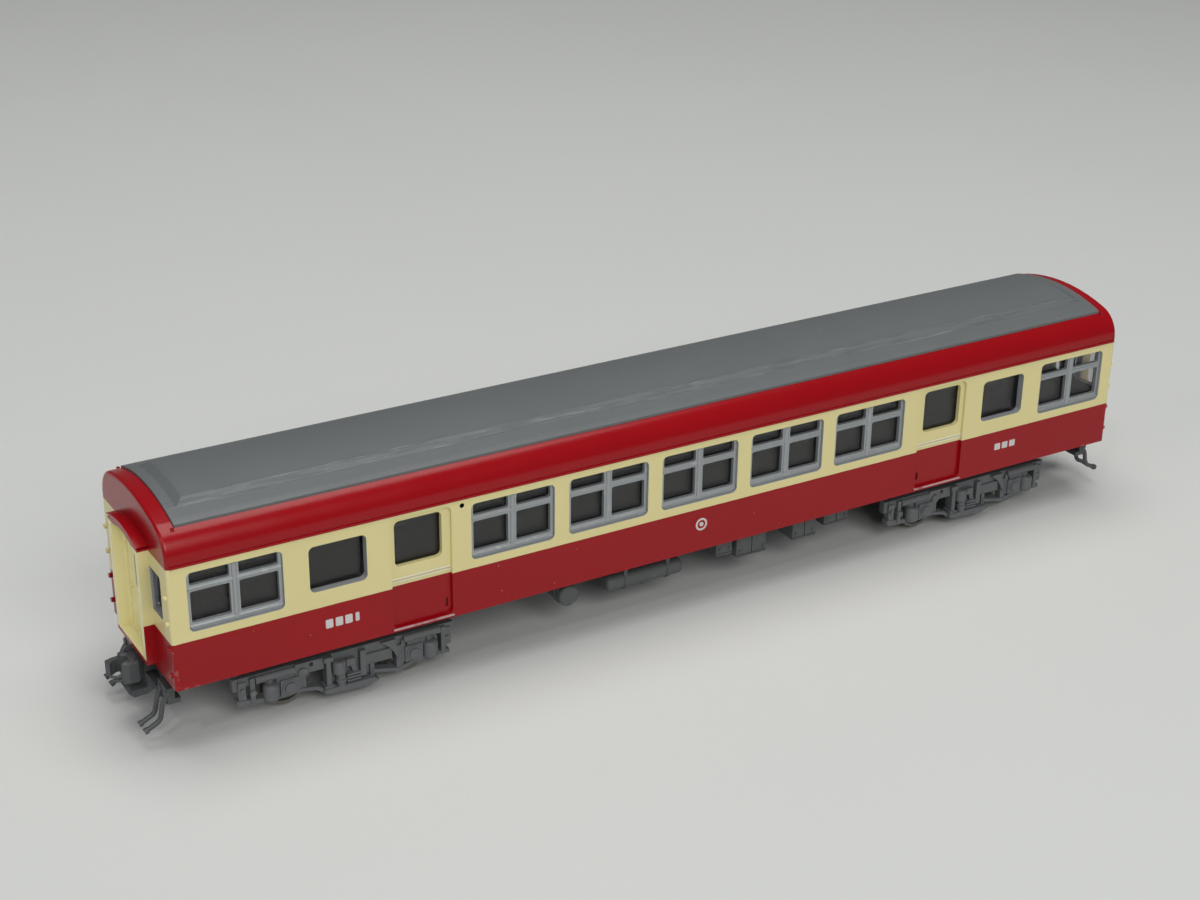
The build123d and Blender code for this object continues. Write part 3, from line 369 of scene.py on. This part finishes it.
def roof_paint():
    """Satin grey with spray mottling, rough streaks along the duct edges and painted shade on
    the duct's end slopes.
    """
    f = Finish("roof_paint")
    mottle = f.noise(0.5, 4.0, 0.7)
    cloud = f.noise(9.0, 3.0, shift=4.0)
    base = f.shade(f.shade(ROOF_GREY, cloud, 0.07), mottle, 0.07)
    beyond_slope = f.ramp(f.ay, DUCT_Y, DUCT_Y + 0.3)
    streak_zone = f.without(f.ramp(f.ay, DUCT_Y - 1.3, DUCT_Y - 0.7), beyond_slope)
    # Painted shade: the duct's sloping ends are painted darker
    end_slope_shade = f.both(
        f.ramp(f.ax, DUCT_X - 1.3, DUCT_X - 0.6),
        f.below(f.ax, DUCT_X + 0.1),
        f.below(f.ay, DUCT_Y),
    )
    base = f.mix(f.math("MULTIPLY", end_slope_shade, 0.22), base, rgb(76, 79, 79))
    dark_grain = f.noise(0.32, 4.0, 0.6, stretch=(0.06, 1, 1), shift=6.0)
    streaks = f.both(streak_zone, f.ramp(dark_grain, 0.47, 0.62))
    base = f.mix(f.math("MULTIPLY", streaks, 0.55), base, rgb(84, 87, 87))
    light_grain = f.noise(0.4, 4.0, 0.6, stretch=(0.08, 1, 1), shift=16.0)
    light = f.both(streak_zone, f.ramp(light_grain, 0.56, 0.7))
    base = f.mix(f.math("MULTIPLY", light, 0.35), base, rgb(148, 151, 150))
    dust = f.ramp(f.noise(0.35, 1.0, shift=21.0), 0.77, 0.82)
    base = f.mix(f.math("MULTIPLY", dust, 0.6), base, rgb(168, 170, 168))
    relief = f.math("ADD", f.math("MULTIPLY", mottle, 0.5), f.math("MULTIPLY", streaks, 0.9))
    f.bump(relief, 0.02)
    roughness = f.spread(f.noise(2.5, 3.0, shift=2.0), 0.38, 0.56)
    return f.set(Base_Color=base, Roughness=roughness, IOR=1.45)


def moulded(
    name,
    colour,
    wear,
    rough=(0.45, 0.65),
    metallic=0.0,
    grain=0.35,
    depth=0.01,
    variation=0.1,
):
    """Matt moulded plastic or cast metal with lighter rubbed spots.

    rough is the lowest and highest roughness, grain and depth are mm.
    """
    f = Finish(name)
    base = f.shade(colour, f.noise(4.0, 3.0, shift=1.0), variation)
    base = f.shade(base, f.noise(grain, 3.0, 0.6, shift=5.0), variation)
    rubbed = f.ramp(f.noise(0.8, 4.0, 0.65, shift=9.0), 0.58, 0.72)
    base = f.mix(f.math("MULTIPLY", rubbed, 0.45), base, wear)
    f.bump(f.noise(grain, 3.0, 0.6, shift=5.0), depth)
    roughness = f.spread(f.noise(1.1, 3.0, shift=3.0), *rough)
    f.set(Base_Color=base, Roughness=roughness, IOR=1.45)
    f.shader.inputs["Metallic"].default_value = metallic
    return f.material


def clear_glazing():
    """Clear moulded strip, faintly smoky and with a light film of dust."""
    f = Finish("clear_glazing")
    smudge = f.noise(3.0, 4.0, 0.6)
    tint = f.shade(rgb(226, 224, 226), smudge, 0.04)
    f.bump(f.noise(6.0, 1.0, shift=3.0), 0.01)
    f.set(Base_Color=tint, Roughness=f.spread(smudge, 0.02, 0.09))
    f.shader.inputs["Transmission Weight"].default_value = 1.0
    f.shader.inputs["IOR"].default_value = 1.46
    return f.material


FINISHES = {
    "coach_paint": coach_paint(),
    "roof_grey": roof_paint(),
    "clear_glazing": clear_glazing(),
}

# Name, colour, rubbed colour, roughness range, metallic, grain, relief depth, variation
MOULDED = [
    ("sash_silver", (160, 164, 166), (198, 200, 202), (0.3, 0.45), 0.45, 0.3, 0.004, 0.05),
    ("underframe_black", (38, 38, 39), (70, 70, 70), (0.5, 0.7), 0.0, 0.35, 0.01, 0.1),
    ("ballast_steel", (70, 64, 62), (96, 88, 84), (0.35, 0.55), 0.6, 1.2, 0.01, 0.1),
    ("gear_grey", (84, 86, 87), (122, 124, 124), (0.48, 0.66), 0.0, 0.35, 0.01, 0.1),
    ("bogie_grey", (96, 98, 100), (136, 138, 140), (0.45, 0.62), 0.0, 0.3, 0.014, 0.08),
    ("coupler_grey", (76, 78, 80), (112, 114, 115), (0.4, 0.55), 0.0, 0.35, 0.01, 0.1),
    ("axle_steel", (150, 148, 146), (196, 194, 190), (0.25, 0.4), 0.9, 0.4, 0.003, 0.05),
    ("wheel_metal", (132, 130, 122), (176, 174, 166), (0.28, 0.42), 0.85, 0.4, 0.004, 0.06),
]
for label, colour, wear, rough, metallic, grain, depth, variation in MOULDED:
    finish = moulded(label, rgb(*colour), rgb(*wear), rough, metallic, grain, depth, variation)
    FINISHES[label] = finish


def finish_for(name):
    if name == "body_shell":
        return "coach_paint"
    if name == "roof_panel":
        return "roof_grey"
    if "glazing" in name:
        return "clear_glazing"
    if name.startswith("sash"):
        return "sash_silver"
    if name == "weight_plate":
        return "ballast_steel"
    if name.startswith("axle"):
        return "axle_steel"
    if name.startswith("wheels"):
        return "wheel_metal"
    if name.startswith("bogie_frame"):
        return "bogie_grey"
    if name in ("chassis_floor", "bogie_pin_a", "bogie_pin_b"):
        return "underframe_black"
    if name.startswith(("coupler", "hose")):
        return "coupler_grey"
    return "gear_grey"


for name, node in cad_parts.items():
    finish = FINISHES[finish_for(name)]
    if not node.data.materials:
        node.data.materials.append(finish)
    for index in range(len(node.material_slots)):
        node.material_slots[index].link = "OBJECT"
        node.material_slots[index].material = finish


def new_piece(name, bm, finish, body):
    mesh = bpy.data.meshes.new(name)
    bmesh.ops.recalc_face_normals(bm, faces=bm.faces)
    bm.to_mesh(mesh)
    bm.free()
    mesh.materials.append(finish)
    piece = bpy.data.objects.new(name, mesh)
    bpy.context.scene.collection.objects.link(piece)
    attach(piece, body)
    return piece


def printed_shape(bm, outline, centre, side):
    """Thin raised print on a side wall: outline of (x, z) mm, seen from outside."""
    back = side * (SHELL_HALF_W - 0.01)
    front = side * (SHELL_HALF_W + 0.03)
    rings = []
    for y in (back, front):
        ring = []
        for x, z in outline:
            place = ((centre[0] - side * x) * MM, y * MM, (centre[1] + z) * MM)
            ring.append(bm.verts.new(place))
        rings.append(ring)
    count = len(outline)
    bm.faces.new(rings[0])
    bm.faces.new(rings[1])
    for i in range(count):
        j = (i + 1) % count
        bm.faces.new((rings[0][i], rings[0][j], rings[1][j], rings[1][i]))


def rounded_bar(wide, high, radius=0.12):
    """Upright bar outline with rounded corners."""
    points = []
    for cx, cz, start in (
        (wide / 2 - radius, high / 2 - radius, 0),
        (-wide / 2 + radius, high / 2 - radius, 90),
        (-wide / 2 + radius, -high / 2 + radius, 180),
        (wide / 2 - radius, -high / 2 + radius, 270),
    ):
        for step in range(4):
            turn = math.radians(start + step * 30)
            x = cx + radius * math.cos(turn)
            z = cz + radius * math.sin(turn)
            points.append((x, z))
    return points


PRINT = moulded(
    "printed_silver", rgb(206, 200, 200), rgb(228, 224, 222), (0.35, 0.5), 0.1, 0.25, 0.002, 0.04
)
NUMBER_X = (-44.05, -42.98, -41.94, -41.0)
NUMBER_Z = 10.47
CLASS_X = (42.75, 43.9, 45.05)
CLASS_Z = 10.5
BADGE_PLACE = (0.35, 10.59)


def markings(side, tag):
    """Plain bars where the number and the initials are."""
    bm = bmesh.new()
    for x in NUMBER_X:
        width = 0.42 if x == NUMBER_X[-1] else 0.8
        printed_shape(bm, rounded_bar(width, 0.98), (-side * x, NUMBER_Z), side)
    new_piece("number_bars_" + tag, bm, PRINT, "coach")
    bm = bmesh.new()
    for x in CLASS_X:
        printed_shape(bm, rounded_bar(0.86, 0.82, 0.1), (-side * x, CLASS_Z), side)
    new_piece("class_bars_" + tag, bm, PRINT, "coach")


def ring_band(bm, centre, inner, outer, side, low, high):
    """Flat ring on a side wall."""
    steps = 48
    rows = []
    for radius, y in ((inner, low), (inner, high), (outer, high), (outer, low)):
        row = []
        for i in range(steps):
            turn = 2 * math.pi * i / steps
            x = centre[0] + radius * math.cos(turn)
            z = centre[1] + radius * math.sin(turn)
            row.append(bm.verts.new((x * MM, side * y * MM, z * MM)))
        rows.append(row)
    for k in range(4):
        first = rows[k]
        second = rows[(k + 1) % 4]
        for i in range(steps):
            j = (i + 1) % steps
            bm.faces.new((first[i], first[j], second[j], second[i]))


def emblem(side, tag):
    """Plain ring with a boss in the middle, where the coach carries a round badge."""
    centre = (-side * BADGE_PLACE[0], BADGE_PLACE[1])
    low = SHELL_HALF_W - 0.01
    high = SHELL_HALF_W + 0.035
    bm = bmesh.new()
    for inner, outer in ((0.52, 0.74), (0.02, 0.26)):
        ring_band(bm, centre, inner, outer, side, low, high)
    new_piece("round_badge_" + tag, bm, PRINT, "coach")


for side, tag in ((-1, "near"), (1, "far")):
    markings(side, tag)
    emblem(side, tag)


def paper():
    """Pale paper floor with a fine grain."""
    f = Finish("pale_paper")
    base = f.shade(PAPER_GREY, f.noise(60.0, 2.0), 0.02)
    base = f.shade(base, f.noise(0.5, 4.0, 0.7, shift=4.0), 0.012)
    f.bump(f.noise(0.8, 5.0, 0.7, shift=8.0), 0.03)
    f.set(Base_Color=base, Roughness=f.spread(f.noise(6.0, shift=2.0), 0.7, 0.85))
    f.shader.inputs["Specular IOR Level"].default_value = 0.24
    return f.material


def floor_sheet(name, corners, z, finish):
    bm = bmesh.new()
    bm.faces.new([bm.verts.new((x * MM, y * MM, z * MM)) for x, y in corners])
    mesh = bpy.data.meshes.new(name)
    bmesh.ops.recalc_face_normals(bm, faces=bm.faces)
    bm.to_mesh(mesh)
    bm.free()
    mesh.materials.append(finish)
    sheet = bpy.data.objects.new(name, mesh)
    bpy.context.scene.collection.objects.link(sheet)
    return sheet


FLOOR_HALF = 3000
FLOOR_Z = cad_box[0].z / MM - 0.02
floor_corners = [
    (-FLOOR_HALF, -FLOOR_HALF),
    (FLOOR_HALF, -FLOOR_HALF),
    (FLOOR_HALF, FLOOR_HALF),
    (-FLOOR_HALF, FLOOR_HALF),
]
floor_sheet("floor", floor_corners, FLOOR_Z, paper())


def area_light(name, place, aim, wide, high, power, colour):
    data = bpy.data.lights.new(name, "AREA")
    data.shape = "RECTANGLE"
    data.size = wide
    data.size_y = high
    data.energy = power
    data.color = colour
    light = bpy.data.objects.new(name, data)
    light.location = place
    light.rotation_euler = (Vector(aim) - Vector(place)).to_track_quat("-Z", "Y").to_euler()
    bpy.context.scene.collection.objects.link(light)


# Name, place and aim in metres, width, height, watts, colour
LIGHTS = [
    ("overhead", (0.04, 0.02, 0.6), (0, 0, 0), 0.55, 0.35, 2.3, (1.0, 0.99, 0.97)),
    ("front_fill", (-0.1, -0.7, 0.5), (0, 0, 0.01), 0.5, 0.35, 3.4, (1.0, 1.0, 0.98)),
    ("glint", (-0.3, -0.28, 0.5), (-0.06, 0, 0.02), 0.03, 0.03, 0.22, (1.0, 1.0, 1.0)),
    ("left_fill", (-0.6, -0.1, 0.28), (0, 0, 0.01), 0.35, 0.35, 0.6, (0.99, 0.99, 1.0)),
]
for light in LIGHTS:
    area_light(*light)

world = bpy.data.worlds.new("soft_room")
world.use_nodes = True
background = world.node_tree.nodes["Background"]
background.inputs["Color"].default_value = (0.93, 0.95, 1.0, 1.0)
background.inputs["Strength"].default_value = 0.11
bpy.context.scene.world = world

# Camera place in mm, with its three axes
CAMERA_AT = Vector((-112.481, -174.975, 111.294)) * MM
RIGHT = Vector((0.85948, -0.51104, 0.01148))
UP = Vector((0.20429, 0.36399, 0.90872))
BACK = Vector((-0.46857, -0.77869, 0.41724))
camera_data = bpy.data.cameras.new("camera")
camera_data.lens = 61.026
camera_data.sensor_width = 36.0
camera_data.clip_start = 0.005
camera_data.clip_end = 20.0
camera = bpy.data.objects.new("camera", camera_data)
turn = Matrix((RIGHT, UP, BACK)).transposed().to_4x4()
camera.matrix_world = Matrix.Translation(CAMERA_AT) @ turn
bpy.context.scene.collection.objects.link(camera)
bpy.context.scene.camera = camera

bpy.context.scene.view_settings.view_transform = "Standard"
bpy.context.scene.view_settings.look = "None"
